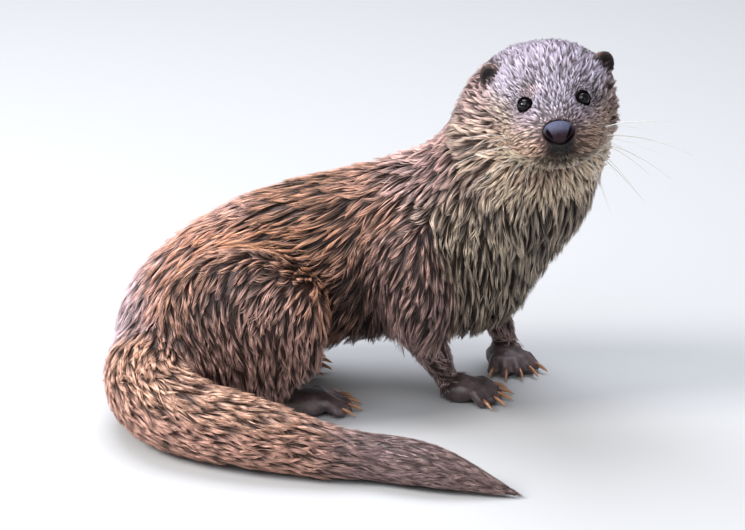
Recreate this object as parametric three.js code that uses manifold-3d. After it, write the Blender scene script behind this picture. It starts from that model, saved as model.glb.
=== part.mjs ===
// A Eurasian otter (Lutra lutra), life size: crouched on a level floor, right side to -Y, head turned
// back over the right shoulder, tail swept round in front. Millimetres, +Z up, +X the way the body faces.
// The solids reach out to the tips of the coat. The flesh is modelled whole and then parted by thin cuts.
import * as THREE from "three";
import { mergeVertices } from "three/addons/utils/BufferGeometryUtils.js";
import Module from "manifold-3d";

const wasm = await Module();
wasm.setup();

const at = (x, y, z) => new THREE.Vector3(x, y, z);
const worldUp = at(0, 0, 1);
const worldForward = at(1, 0, 0);
const worldLeft = at(0, 1, 0);
const sides = { left: 1, right: -1 };

// ---------- driving sizes ----------
const gap = 0.3; // clearance that neighbouring pieces keep
const halfGap = gap / 2;
const farAway = 900; // side of a block that stands for a half space
const bodySoftness = 26; // how widely two lumps of the body flow into one another
const headSoftness = 18;
const weld = 1e-3; // corners nearer than this are one

const head = { place: [137.5, -29, 265], yaw: -88, pitch: 5, roll: 6 };
const eye = { aside: 21.6, above: 9, radius: 6.2, proud: 2.6 };
const ear = {
  forward: 14,
  aside: 43,
  above: 22.5,
  thick: 5,
  wide: 10.5,
  tall: 12.5,
  dish: 0.62, // how much of the leaf its hollow takes
  deep: 0.9, // the hollow's depth as a share of the leaf's
  lift: 1.5, // how far the hollow lies above the middle
  lean: 24,
  splay: 24,
};
const nose = { forward: 91, above: -8, long: 8, wide: 12.5, tall: 9.5 };
const nostril = { radius: 3, forward: 6, aside: 7.75, below: 1.5, flat: 0.7 };
const mouth = { corner: 46, above: -24, tilt: 6 };
const jaw = { long: 60, wide: 100, tall: 60 }; // the block of head that the jaw is cut out with
const whisker = {
  root: 0.5,
  tip: 0.28,
  forward: 70,
  aside: 20,
  above: -15,
  spread: 9,
  droop: 7,
  sweep: 0.22,
};
const whiskerAngles = [2, -16, -31, -50, -74];
const whiskerLengths = [72, 88, 78, 68, 58];

const forePaw = {
  toe: { length: 23, root: 5.6, tip: 4.6, knuckle: 10.5, reach: 13, press: 0.6 },
  palm: { forward: 6, long: 20, wide: 17, tall: 12 },
  fan: [-32, -14, 2, 18, 36],
  lengths: [0.8, 1, 1.04, 0.98, 0.74],
};
const hindPaw = {
  toe: { length: 30, root: 6, tip: 4.8, knuckle: 11, reach: 28, press: 0.6 },
  palm: { forward: 12, long: 42, wide: 19, tall: 13 },
  fan: [-28, -13, 1, 15, 30],
  lengths: [0.9, 1.04, 1.04, 0.95, 0.72],
};
const web = { thick: 2.6, height: 5, reach: 0.66 };
const claw = { length: 7, root: 2.1, tip: 0.6, droop: 1.6 };

const paint = (color, roughness) => new THREE.MeshStandardMaterial({ color, roughness, metalness: 0 });
const coatBrown = paint(0x6b5042, 0.55);
const coatCream = paint(0xa8977e, 0.6);
const coatGrey = paint(0x87756c, 0.55);
const tailBrown = paint(0x6f564b, 0.5);
const footSkin = paint(0x4b3e3c, 0.5);
const earSkin = paint(0x38261d, 0.7);
const noseSkin = paint(0x3a343b, 0.35);
const eyeGloss = paint(0x120c0a, 0.05);
const clawHorn = paint(0xb07142, 0.4);
const whiskerHair = paint(0xd8d4cc, 0.4);

const toeDetail = { around: 6, rings: 2, capRings: 1 };
const clawDetail = { around: 4, rings: 2, capRings: 1 };
const whiskerDetail = { around: 3, rings: 4, capRings: 1, above: worldForward };

// ---------- helpers ----------
const degrees = THREE.MathUtils.degToRad;
const upright = new THREE.Euler();

// A closed manifold solid from a three.js geometry.
function solid(geometry) {
  const bare = geometry.clone();
  bare.deleteAttribute("normal");
  bare.deleteAttribute("uv");
  const merged = mergeVertices(bare, weld);
  const corners = merged.index.array;
  const triangles = [];
  for (let i = 0; i < corners.length; i += 3) {
    const [a, b, c] = corners.slice(i, i + 3);
    if (a !== b && b !== c && c !== a) triangles.push(a, b, c);
  }
  const vertProperties = new Float32Array(merged.attributes.position.array);
  const triVerts = new Uint32Array(triangles);
  return new wasm.Manifold(new wasm.Mesh({ numProp: 3, vertProperties, triVerts }));
}

// The three.js geometry of a manifold solid.
function geometryOf(made) {
  const { vertProperties, triVerts } = made.getMesh();
  const geometry = new THREE.BufferGeometry();
  geometry.setAttribute("position", new THREE.BufferAttribute(vertProperties, 3));
  geometry.setIndex(new THREE.BufferAttribute(triVerts, 1));
  geometry.computeVertexNormals();
  return geometry;
}

const join = (solids) => solids.reduce((all, each) => all.add(each));
const placed = (made, matrix) => made.transform(matrix.elements);
const lineThrough = (points) => new THREE.CatmullRomCurve3(points.map(([x, y, z]) => at(x, y, z)));

// An ellipsoid of flesh: how far outside it a point is.
function lump([x, y, z], [a, b, c]) {
  return (point) => {
    const [u, v, w] = [point.x - x, point.y - y, point.z - z];
    const near = Math.hypot(u / a, v / b, w / c);
    const slope = Math.hypot(u / (a * a), v / (b * b), w / (c * c));
    return slope < 1e-6 ? -Math.min(a, b, c) : (near * (near - 1)) / slope;
  };
}

// Lumps that flow into one body of flesh.
function flesh(lumps, softness) {
  return (point) =>
    lumps.reduce((all, each) => {
      const one = each(point);
      const mix = Math.max(softness - Math.abs(all - one), 0) / softness;
      return Math.min(all, one) - (mix * mix * softness) / 4;
    }, Infinity);
}

// How far a ray runs before it leaves the flesh, and a little further.
function reachOf(body, grow = 0) {
  const probe = new THREE.Vector3();
  const stride = 2;
  return (origin, direction) => {
    const inside = (s) => body(probe.copy(origin).addScaledVector(direction, s)) < 0;
    let far = stride;
    while (inside(far)) far += stride;
    let near = far - stride;
    for (let i = 0; i < 10; i++) {
      const middle = (near + far) / 2;
      if (inside(middle)) near = middle;
      else far = middle;
    }
    return near + grow;
  };
}

// A closed skin round a curve: a capsule whose vertices are sent out from the curve as far as reach() says.
function skinAround(curve, reach, { around = 16, rings = 12, capRings = 4, above = worldUp } = {}) {
  const geometry = new THREE.CapsuleGeometry(1, 1, capRings, around, rings);
  const spots = geometry.attributes.position;
  const spot = new THREE.Vector3();
  for (let i = 0; i < spots.count; i++) {
    spot.fromBufferAttribute(spots, i);
    const along = THREE.MathUtils.clamp(spot.y, -0.5, 0.5);
    const share = along + 0.5;
    const origin = curve.getPoint(share);
    const forward = curve.getTangent(share);
    const aside = at(0, 0, 0).crossVectors(forward, above).normalize();
    const over = at(0, 0, 0).crossVectors(aside, forward);
    spot.y -= along;
    const direction = at(0, 0, 0)
      .addScaledVector(aside, spot.x)
      .addScaledVector(forward, spot.y)
      .addScaledVector(over, spot.z)
      .normalize();
    origin.addScaledVector(direction, reach(origin.clone(), direction, share));
    spots.setXYZ(i, origin.x, origin.y, origin.z);
  }
  return solid(geometry);
}

// A limb, toe or tail through beads [x, y, z, radius].
function tube(beads, grow, detail) {
  const last = beads.length - 1;
  const radii = new THREE.SplineCurve(beads.map(([, , , r], i) => new THREE.Vector2(i / last, r)));
  return skinAround(lineThrough(beads), (from, way, share) => radii.getPoint(share).y + grow, detail);
}

function ball([x, y, z], [a, b, c], { turn = upright, around = 12, rings = 8 } = {}) {
  const geometry = new THREE.SphereGeometry(1, around, rings);
  geometry.scale(a, b, c);
  geometry.applyMatrix4(new THREE.Matrix4().makeRotationFromEuler(turn).setPosition(x, y, z));
  return solid(geometry);
}

// All that lies beyond a point in a direction, or a little more of it.
function beyond([x, y, z], [nx, ny, nz], grow = 0) {
  const geometry = new THREE.BoxGeometry(farAway, farAway, farAway);
  geometry.translate(0, 0, farAway / 2 - grow);
  geometry.applyQuaternion(
    new THREE.Quaternion().setFromUnitVectors(worldUp, at(nx, ny, nz).normalize()),
  );
  return solid(geometry.translate(x, y, z));
}

// A thigh or an upper arm: an oval of muscle that leans forward over the side of the trunk.
function muscle({ middle, long, thick, tall, lean }, grow) {
  const turn = new THREE.Euler(0, degrees(lean), 0);
  return ball(middle, [long + grow, thick + grow, tall + grow], { turn, around: 16, rings: 9 });
}

// ---------- trunk and neck ----------
const bodyFlesh = flesh(
  [
    lump([-112, 6, 80], [76, 66, 75]), // hips
    lump([-156, -2, 56], [54, 58, 58]), // rump
    lump([-62, 22, 112], [74, 60, 66]), // loin
    lump([-4, 30, 116], [70, 60, 73]), // ribs
    lump([44, 26, 126], [62, 56, 77]), // withers
    lump([86, 8, 118], [50, 50, 64]), // breast
    lump([88, 8, 166], [66, 58, 60]), // root of the neck
    lump([122, -4, 170], [51, 48, 42]), // ruff over the breast
    lump([119, -12, 212], [67, 57, 57]), // middle of the neck
    lump([131, -23, 247], [60, 56, 52]), // nape and throat
    lump([109, -7, 255], [29, 31, 40]), // fur bunched behind the right ear by the turn of the neck
  ],
  bodySoftness,
);
const spine = lineThrough([
  [-166, -2, 60],
  [-115, 6, 80],
  [-60, 20, 104],
  [0, 28, 116],
  [50, 20, 134],
  [88, 6, 168],
  [116, -12, 210],
  [132, -27, 246],
]);
const body = skinAround(spine, reachOf(bodyFlesh), { around: 18, rings: 16, capRings: 3 });

const muscles = {
  thigh_right: { middle: [-102, -49, 82], long: 72, thick: 41, tall: 66, lean: 8 },
  thigh_left: { middle: [-98, 61, 82], long: 72, thick: 41, tall: 66, lean: 8 },
  upper_arm_right: { middle: [34, -30, 110], long: 31, thick: 36, tall: 56, lean: -14 },
  upper_arm_left: { middle: [74, 60, 112], long: 31, thick: 34, tall: 54, lean: -14 },
};

// ---------- head, in its own frame: +X to the nose, +Y to its left, +Z to the crown ----------
const headTurn = new THREE.Euler(degrees(head.roll), -degrees(head.pitch), degrees(head.yaw), "ZYX");
const headFrame = new THREE.Matrix4().makeRotationFromEuler(headTurn).setPosition(...head.place);

const headFlesh = flesh(
  [
    lump([2, 0, 4], [48, 52, 42]), // skull
    lump([-6, 0, -18], [34, 46, 36]), // nape
    lump([-18, -30, 14], [20, 19, 24]), // fur behind the right ear
    lump([20, 25, -16], [32, 29, 30]), // cheeks
    lump([20, -25, -16], [32, 29, 30]),
    lump([36, 0, -6], [34, 36, 27]), // middle of the face
    lump([48, 17, -21], [24, 20, 15]), // jowls
    lump([48, -17, -21], [24, 20, 15]),
    lump([66, 0, -12], [26, 25, 17]), // muzzle
    lump([73, 17, -18], [17, 18, 13]), // whisker pads
    lump([73, -17, -18], [17, 18, 13]),
    lump([62, 0, -28], [25, 20, 11]), // chin
    lump([42, 21, 15], [14, 13, 8]), // brows
    lump([42, -21, 15], [14, 13, 8]),
    lump([64, 0, 0], [25, 12, 8]), // bridge of the nose
  ],
  headSoftness,
);
const headLine = lineThrough([
  [-18, 0, -4],
  [18, 0, -6],
  [48, 0, -10],
  [72, 0, -14],
]);
const headDetail = { around: 18, rings: 10, capRings: 3 };
const headSkin = (grow) => placed(skinAround(headLine, reachOf(headFlesh, grow), headDetail), headFrame);

// How far forward the face lies at a place on it.
const faceAt = (aside, above) => reachOf(headFlesh)(at(0, aside, above), worldForward);

function eyeball(side, grow) {
  const reach = eye.radius + grow;
  const forward = faceAt(eye.aside, eye.above) + eye.proud - eye.radius;
  const middle = [forward, eye.aside * sides[side], eye.above];
  return placed(ball(middle, [reach, reach, reach], { around: 10, rings: 7 }), headFrame);
}

// A round leaf, dished in front, that leans back and out from the side of the head.
function earLeaf(side, grow) {
  const hand = sides[side];
  const middle = [ear.forward, ear.aside * hand, ear.above];
  const turn = new THREE.Euler(-degrees(ear.lean) * hand, 0, degrees(ear.splay) * hand, "ZYX");
  const detail = { turn, around: 10, rings: 7 };
  const leaf = ball(middle, [ear.thick + grow, ear.wide + grow, ear.tall + grow], detail);
  const outward = worldForward.clone().applyEuler(turn).multiplyScalar(ear.thick);
  const dent = [middle[0] + outward.x, middle[1] + outward.y, middle[2] + outward.z + ear.lift];
  const hollow = ball(dent, [ear.thick * ear.deep, ear.wide * ear.dish, ear.tall * ear.dish], detail);
  return placed(grow > 0 ? leaf : leaf.subtract(hollow), headFrame);
}

// The bare pad of the nose with its two nostrils.
function nosePad(grow) {
  const middle = [nose.forward, 0, nose.above];
  const pad = ball(middle, [nose.long + grow, nose.wide + grow, nose.tall + grow], { around: 10, rings: 6 });
  if (grow > 0) return placed(pad, headFrame);
  const holes = Object.values(sides).map((hand) =>
    ball(
      [nose.forward + nostril.forward, nostril.aside * hand, nose.above - nostril.below],
      [nostril.radius, nostril.radius, nostril.radius * nostril.flat],
      { around: 6, rings: 5 },
    ),
  );
  return placed(pad.subtract(join(holes)), headFrame);
}

// The long hairs of a whisker pad, from the top one down.
function whiskersOf(side) {
  const root = whisker.forward;
  return whiskerAngles.map((angle, i) => {
    const [outward, up] = [Math.cos(degrees(angle)), Math.sin(degrees(angle))];
    const height = whisker.above + whisker.spread * up;
    const hair = (share, sag, radius) => [
      root - whiskerLengths[i] * share * whisker.sweep,
      (whisker.aside + whiskerLengths[i] * share * outward) * sides[side],
      height + whiskerLengths[i] * share * up - sag,
      radius,
    ];
    const beads = [
      hair(0, 0, whisker.root),
      hair(0.5, 1, (whisker.root + whisker.tip) / 2),
      hair(1, whisker.droop, whisker.tip),
    ];
    return placed(tube(beads, 0, whiskerDetail), headFrame).subtract(headSkin(gap));
  });
}

// The front of the head below the line of the mouth.
function jawBlock(grow) {
  const geometry = new THREE.BoxGeometry(jaw.long + grow, jaw.wide, jaw.tall + 2 * grow);
  geometry.translate((jaw.long - grow) / 2, 0, -jaw.tall / 2);
  geometry.rotateY(degrees(mouth.tilt)).translate(mouth.corner, 0, mouth.above);
  return placed(solid(geometry), headFrame);
}

// ---------- tail ----------
const tailBeads = [
  [-148, 6, 52, 46],
  [-172, -32, 43, 43],
  [-175, -76, 38, 38.5],
  [-160, -108, 35, 35.5],
  [-134, -128, 32, 32.5],
  [-87, -150, 29, 29.5],
  [-41, -164, 22, 22.5],
  [-3, -169, 19, 19.5],
  [37, -184, 19, 19.5],
  [66, -193, 14, 14.5],
  [92, -201, 7.5, 8],
  [113, -207, 3, 3.4],
];
const tailSkin = (grow) => tube(tailBeads, grow, { around: 12, rings: 20, capRings: 2 });

// ---------- legs ----------
const foreleg = {
  right: { elbow: [32, -36, 84], wrist: [56, 0, 24], paw: [66, 0, 0], heading: -12 },
  left: { elbow: [84, 76, 84], wrist: [108, 82, 24], paw: [108, 78, 0], heading: -74 },
};
const hindleg = {
  right: { knee: [-60, -52, 56], hock: [-110, -50, 22], paw: [-76, -42, 0], heading: 20 },
  left: { knee: [-64, 64, 56], hock: [-126, 66, 22], paw: [-104, 64, 0], heading: 4 },
};

function forearm({ elbow: [ex, ey, ez], wrist: [wx, wy, wz] }, grow) {
  const beads = [
    [ex, ey, ez, 23],
    [(ex + wx) / 2, (ey + wy) / 2, (ez + wz) / 2, 18],
    [wx, wy, wz, 13],
    [wx + 2, wy, wz - 9, 11],
  ];
  return tube(beads, grow, { around: 10, rings: 5, capRings: 2, above: worldForward });
}

function shank({ knee: [kx, ky, kz], hock: [hx, hy, hz] }, grow) {
  const beads = [
    [kx, ky, kz, 24],
    [(kx + hx) / 2, (ky + hy) / 2, (kz + hz) / 2, 22],
    [hx, hy, hz, 17],
  ];
  return tube(beads, grow, { around: 10, rings: 4, capRings: 2, above: worldLeft });
}

// A foot's toes and claws, in its own frame: +X to the toes, the sole at z = 0.
function toesOf({ toe, palm, fan, lengths }) {
  return fan.map((angle, i) => {
    const turn = degrees(angle);
    const reach = toe.length * lengths[i];
    const out = (s, z, r) => [
      toe.reach + s * Math.cos(turn),
      palm.wide * Math.sin(turn) + s * Math.sin(turn),
      z,
      r,
    ];
    const end = reach + toe.tip;
    return {
      toe: [
        out(0, toe.knuckle, toe.root),
        out(reach / 2, toe.knuckle, toe.root),
        out(reach, toe.tip - toe.press, toe.tip),
      ],
      claw: [
        out(reach + 1, toe.tip + claw.droop, claw.root),
        out(end + claw.length / 2, toe.tip + claw.droop, claw.root),
        out(end + claw.length, claw.droop, claw.tip),
      ],
    };
  });
}

// A foot's sole, webbing and toes.
function footFlesh(shape, grow) {
  const { toe, palm, fan } = shape;
  const half = degrees(Math.max(...fan));
  const reach = palm.forward + toe.reach + toe.length * web.reach;
  const sector = new THREE.Shape().moveTo(0, 0).absarc(0, 0, reach + grow, -half, half);
  const webbing = new THREE.ExtrudeGeometry(sector, {
    depth: web.thick + 2 * grow,
    bevelEnabled: false,
    curveSegments: 3,
  });
  const sole = ball(
    [palm.forward, 0, palm.tall * 0.7],
    [palm.long + grow, palm.wide + grow, palm.tall + grow],
    { around: 8, rings: 5 },
  );
  const toes = toesOf(shape).map((each) => tube(each.toe, grow, toeDetail));
  return join([sole, solid(webbing.translate(-palm.forward, 0, web.height - grow)), ...toes]);
}

const clawsOf = (shape) =>
  toesOf(shape).map((each) => tube(each.claw, 0, clawDetail).subtract(tube(each.toe, gap, toeDetail)));

// Turns a foot to its heading and stands it in its place. A right foot mirrors a left one.
function standing({ paw, heading }, side) {
  const frame = new THREE.Matrix4().makeRotationZ(degrees(heading)).setPosition(...paw);
  return frame.multiply(new THREE.Matrix4().makeScale(1, sides[side], 1));
}

// ---------- the whole animal ----------
const otter = new THREE.Group();
otter.name = "otter";

// The one outer body of a solid, without the chips and bubbles that cuts leave.
const outermost = (made) =>
  made.decompose().reduce((most, each) => (each.volume() > most.volume() ? each : most));

function show(name, made, material) {
  const mesh = new THREE.Mesh(geometryOf(outermost(made)), material);
  mesh.name = name;
  otter.add(mesh);
}

const feet = Object.keys(sides).flatMap((side) => [
  { name: `forepaw_${side}`, shape: forePaw, frame: standing(foreleg[side], side) },
  { name: `hindpaw_${side}`, shape: hindPaw, frame: standing(hindleg[side], side) },
]);

let rest = join([
  body,
  headSkin(0),
  tailSkin(0),
  ...Object.values(muscles).map((each) => muscle(each, 0)),
  ...Object.keys(sides).flatMap((side) => [forearm(foreleg[side], 0), shank(hindleg[side], 0)]),
  ...feet.map(({ shape, frame }) => placed(footFlesh(shape, 0), frame)),
]).intersect(beyond([0, 0, 0], [0, 0, 1]));

// Takes what lies in cutter() off the rest as a part of its own, with a thin cut between the two.
function partOff(name, material, cutter) {
  show(name, rest.intersect(cutter(-halfGap)), material);
  rest = rest.subtract(cutter(halfGap));
}

// Sets a piece into the rest, in a seat with a thin clearance.
function seat(name, material, piece) {
  show(name, piece(0), material);
  rest = rest.subtract(piece(gap));
}

for (const { name, shape, frame } of feet) {
  partOff(name, footSkin, (grow) => placed(footFlesh(shape, grow), frame));
  clawsOf(shape).forEach((horn, i) => show(`claw_${name}_${i + 1}`, placed(horn, frame), clawHorn));
}
const tailCuts = [
  ["tail_tip", [30, -180, 0], [0.93, -0.36, 0]],
  ["tail_middle", [-90, -150, 0], [0.96, -0.28, 0]],
  ["tail_base", [-172, -40, 0], [-0.1, -1, 0]],
];
for (const [name, point, way] of tailCuts) {
  partOff(name, tailBrown, (grow) => tailSkin(grow).intersect(beyond(point, way, grow)));
}
for (const side of Object.keys(sides)) {
  partOff(`forearm_${side}`, coatBrown, (grow) => forearm(foreleg[side], grow));
}
for (const [name, each] of Object.entries(muscles)) {
  partOff(name, coatBrown, (grow) => muscle(each, grow));
}
for (const side of Object.keys(sides)) {
  partOff(`shank_${side}`, coatBrown, (grow) => shank(hindleg[side], grow));
}
for (const side of Object.keys(sides)) {
  seat(`eye_${side}`, eyeGloss, (grow) => eyeball(side, grow));
  seat(`ear_${side}`, earSkin, (grow) => earLeaf(side, grow));
}
seat("nose", noseSkin, nosePad);
partOff("jaw", coatCream, jawBlock);
partOff("head", coatGrey, (grow) => beyond([128, -18, 228], [0.15, -0.55, 0.82], grow));
partOff("neck", coatCream, (grow) => beyond([80, 12, 158], [0.5, -0.25, 0.83], grow));
partOff("chest", coatBrown, (grow) => beyond([-12, 0, 0], [1, 0, 0], grow));
partOff("belly", coatBrown, (grow) => beyond([-84, 0, 0], [1, 0, 0], grow));
show("rump", rest, coatBrown);
for (const side of Object.keys(sides)) {
  whiskersOf(side).forEach((hair, i) => show(`whisker_${side}_${i + 1}`, hair, whiskerHair));
}

// The origin lies on the floor, under the middle of the whole.
const bounds = new THREE.Box3().setFromObject(otter);
const middle = bounds.getCenter(at(0, 0, 0));
otter.position.set(-middle.x, -middle.y, -bounds.min.z);

export default otter;
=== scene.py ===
import math
import bmesh
import bpy
import numpy as np
from mathutils import Matrix, Vector
from mathutils.bvhtree import BVHTree
from mathutils.kdtree import KDTree


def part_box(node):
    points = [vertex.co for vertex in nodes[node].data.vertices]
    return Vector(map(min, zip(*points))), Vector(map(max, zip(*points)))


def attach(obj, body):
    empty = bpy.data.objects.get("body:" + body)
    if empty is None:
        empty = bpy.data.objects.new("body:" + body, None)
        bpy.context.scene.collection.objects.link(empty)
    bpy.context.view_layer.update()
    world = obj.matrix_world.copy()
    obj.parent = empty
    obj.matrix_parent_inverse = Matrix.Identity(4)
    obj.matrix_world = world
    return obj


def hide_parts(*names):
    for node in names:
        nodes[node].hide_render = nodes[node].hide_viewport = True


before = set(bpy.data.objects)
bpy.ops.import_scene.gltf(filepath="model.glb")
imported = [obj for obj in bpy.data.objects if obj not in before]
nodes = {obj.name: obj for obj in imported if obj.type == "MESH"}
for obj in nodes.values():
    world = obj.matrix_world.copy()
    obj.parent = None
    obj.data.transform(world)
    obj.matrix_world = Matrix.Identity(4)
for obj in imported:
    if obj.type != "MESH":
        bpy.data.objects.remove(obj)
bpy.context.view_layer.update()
mm = 0.001
upright = np.array([0, 0, 1.0])
dice = np.random.default_rng(11)


# small helpers
def middleOf(name):
    low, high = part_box(name)
    return (np.array(low) + np.array(high)) / 2


def sizeOf(v):
    return np.linalg.norm(v, axis=-1)


def unit(v):
    return v / np.maximum(sizeOf(v)[..., None], 1e-9)


def ease(low, high, x):
    t = np.clip((x - low) / (high - low), 0, 1)
    return t * t * (3 - 2 * t)


def dot(a, b):
    return (a * b).sum(-1)


def newObject(name, mesh):
    made = bpy.data.objects.new(name, mesh)
    bpy.context.scene.collection.objects.link(made)
    return made


def objectFrom(name, bm, smooth=True):
    mesh = bpy.data.meshes.new(name)
    bm.normal_update()
    bm.to_mesh(mesh)
    bm.free()
    mesh.polygons.foreach_set("use_smooth", [smooth] * len(mesh.polygons))
    return newObject(name, mesh)


def numbersOf(items, name, width, kind=float):
    values = np.empty(len(items) * width, dtype=kind)
    items.foreach_get(name, values)
    return values.reshape(-1, width)


def giveNumbers(items, name, values):
    items.foreach_set(name, np.ascontiguousarray(values, dtype=np.float32).ravel())


def spotsOf(mesh):
    return numbersOf(mesh.vertices, "co", 3)


def normalsOf(mesh):
    return numbersOf(mesh.vertex_normals, "vector", 3)


def moveTo(mesh, spots):
    giveNumbers(mesh.vertices, "co", spots)
    mesh.update()


def keep(mesh, name, values, kind="FLOAT"):
    # stores one value, vector or colour per vertex for the materials to read
    slotName = {"FLOAT": "value", "FLOAT_VECTOR": "vector", "FLOAT_COLOR": "color"}[kind]
    giveNumbers(mesh.attributes.new(name, kind, "POINT").data, slotName, values)


def nearestIn(tree, points):
    return np.array([tree.find(p)[1] for p in points.tolist()])


def treeOf(points):
    tree = KDTree(len(points))
    for i, p in enumerate(points.tolist()):
        tree.insert(p, i)
    tree.balance()
    return tree


# the head's own axes, from the places of its nose, eyes and ears
headSet = {
    "pitch": 5,  # degrees that the face looks up
    "skullDown": 22.5, "skullBack": 16,  # mm from between the ears to the middle of the skull
}
noseSpot = middleOf("nose")
eyeSpots = {side: middleOf(f"eye_{side}") for side in ("left", "right")}
earSpots = {side: middleOf(f"ear_{side}") for side in ("left", "right")}
eyeMiddle = (eyeSpots["left"] + eyeSpots["right"]) / 2
earMiddle = (earSpots["left"] + earSpots["right"]) / 2
headLeft = unit(eyeSpots["left"] - eyeSpots["right"])
headPitch = math.radians(headSet["pitch"])
headForward = unit(np.cross(headLeft, upright))
headForward = unit(headForward * math.cos(headPitch) + upright * math.sin(headPitch))
headForward = unit(headForward - headLeft * dot(headForward, headLeft))
headUp = np.cross(headForward, headLeft)
skullSpot = earMiddle - (headUp * headSet["skullDown"] + headForward * headSet["skullBack"]) * mm


def inHead(points):
    # millimetres forward, to the animal's left and up from the middle of the skull
    away = (points - skullSpot) / mm
    return dot(away, headForward), dot(away, headLeft), dot(away, headUp)


# the skin: copies of the flesh nodes grown into one another, remeshed, smoothed and drawn in
skinSet = {
    "voxel": 1.8,  # mm
    "swell": 1.0,  # mm the copies grow, so that the cuts between them close
    "pawSwell": 0.4,
    "calm": {"feet": 2, "ear": 2, "face": 16, "leg": 24, "tail": 40, "body": 85},  # rounds of smoothing
    "kept": 0.62,  # share of the faces left where the coat hides them
    "fineLoss": 0.25,  # how much of that loss the face, ears and feet take
    "sink": 0.3,  # mm that the coat's roots may stand above the skin
    "mouthDeep": 1.5, "lipDrop": 25, "lipSlope": 0.04,
    "eyeSeat": 5.9, "eyeSink": 0.9,  # the ball round each eye that the skin is drawn into
    "sole": 0.3,  # mm between the skin and the floor
    "seamAngle": 66, "seamGap": 0.002,
}
bareNames = ("eye_", "claw_", "whisker_", "nose")
fleshNames = [name for name in nodes if not name.startswith(bareNames)]
areaStarts = {
    "feet": ("forepaw", "hindpaw"), "ear": "ear_", "face": ("head", "jaw"),
    "leg": ("forearm", "shank"), "tail": "tail",
}


def areaOf(name):
    return next((area for area, starts in areaStarts.items() if name.startswith(starts)), "body")


def grownCopies():
    whole = bmesh.new()
    owners = []
    for name in fleshNames:
        one = bmesh.new()
        one.from_mesh(nodes[name].data)
        bmesh.ops.remove_doubles(one, verts=one.verts, dist=0.001 * mm)
        one.normal_update()
        swell = skinSet["pawSwell" if "paw" in name else "swell"] * mm
        for v in one.verts:
            v.co += v.normal * swell
        scratch = bpy.data.meshes.new("scratch")
        one.to_mesh(scratch)
        one.free()
        whole.from_mesh(scratch)
        bpy.data.meshes.remove(scratch)
        owners += [name] * (len(whole.faces) - len(owners))
    return whole, owners


def edgesOf(mesh):
    ends = numbersOf(mesh.edges, "vertices", 2, np.int32)
    return ends, np.bincount(ends.ravel(), minlength=len(mesh.vertices)).astype(float)


def neighbourMean(values, ends, counts):
    total = np.zeros_like(values)
    for column in range(values.shape[1]):
        total[:, column] = np.bincount(ends[:, 0], values[ends[:, 1], column], len(values))
        total[:, column] += np.bincount(ends[:, 1], values[ends[:, 0], column], len(values))
    return total / counts[:, None]


def spread(values, rounds):
    values = values.reshape(len(values), -1).astype(float)
    for _ in range(rounds):
        values = (values + neighbourMean(values, skinEdges, edgeCounts)) / 2
    return values


def areaShares():
    return {a: np.array([areaOf(name) == a for name in ownerNames], dtype=float) for a in skinSet["calm"]}


def bakedMesh(made):
    return bpy.data.meshes.new_from_object(made.evaluated_get(bpy.context.evaluated_depsgraph_get()))


copies, owners = grownCopies()
surface = BVHTree.FromBMesh(copies)
mould = objectFrom("mould", copies)
remesh = mould.modifiers.new("oneSkin", "REMESH")
remesh.mode = "VOXEL"
remesh.voxel_size = skinSet["voxel"] * mm
skinMesh = bakedMesh(mould)
bpy.data.objects.remove(mould)
skinEdges, edgeCounts = edgesOf(skinMesh)

spots = spotsOf(skinMesh)
ownerNames = np.array([owners[surface.find_nearest(p)[2]] for p in spots.tolist()])
isArea = areaShares()
rounds = spread(sum(isArea[a] * n for a, n in skinSet["calm"].items()), 4)[:, 0]
for turn in range(int(rounds.max())):
    moving = (rounds > turn)[:, None]
    spots = np.where(moving, (spots + neighbourMean(spots, skinEdges, edgeCounts)) / 2, spots)
moveTo(skinMesh, spots)

# the coat hides the body's skin, so most corners are taken out there and few on the face, ears and feet
skin = newObject("otterSkin", skinMesh)
hidden = skin.vertex_groups.new(name="hidden")
fine = spread(isArea["face"] + isArea["ear"] + isArea["feet"], 3)[:, 0] > 0.3
hidden.add(np.nonzero(~fine)[0].tolist(), 1.0, "REPLACE")
hidden.add(np.nonzero(fine)[0].tolist(), skinSet["fineLoss"], "REPLACE")
fewer = skin.modifiers.new("fewer", "DECIMATE")
fewer.ratio = skinSet["kept"]
fewer.vertex_group = "hidden"
oldTree = treeOf(spots)
fullMesh = skinMesh
skinMesh = bakedMesh(skin)
skin.modifiers.clear()
skin.vertex_groups.clear()
skin.data = skinMesh
bpy.data.meshes.remove(fullMesh)
spots = spotsOf(skinMesh)
ownerNames = ownerNames[nearestIn(oldTree, spots)]
isArea = areaShares()
skinEdges, edgeCounts = edgesOf(skinMesh)
print(f"skin: {len(skinMesh.polygons)} faces, box {spots.min(0).round(3)} {spots.max(0).round(3)}")


# areas over the skin: each ease() goes from none to all of an area between two measures,
# which are millimetres, or how squarely the skin faces a way
def areaOn(start, rounds):
    return spread(np.char.startswith(ownerNames, start).astype(float), rounds)[:, 0]


def farFrom(spot):
    return sizeOf(spots - spot) / mm


forward, aside, above = inHead(spots)
facing = normalsOf(skinMesh)
thighMiddle, armMiddle = middleOf("thigh_right"), middleOf("upper_arm_right")
tailTip = np.array([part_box("tail_tip")[1][0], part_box("tail_tip")[0][1], 0.004])
throatWay = unit(np.array([0.75, -0.56, -0.30]))
isHead = spread(isArea["face"] + isArea["ear"], 6)[:, 0]
isEar = spread(isArea["ear"], 3)[:, 0]
isFeet = spread(isArea["feet"], 5)[:, 0]
isBare = spread(isFeet, 10)[:, 0]
isLeg = spread(isArea["leg"], 10)[:, 0]
isTail = spread(isArea["tail"], 16)[:, 0]
isThigh = areaOn("thigh", 10)
isNeck = areaOn("neck", 30)
isChest = areaOn("chest", 30)
isArm = areaOn("upper_arm", 10)
isRump = areaOn("rump", 20)
isBelly = areaOn("belly", 20)
isLimb = np.clip(isLeg + isFeet, 0, 1)

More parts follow.
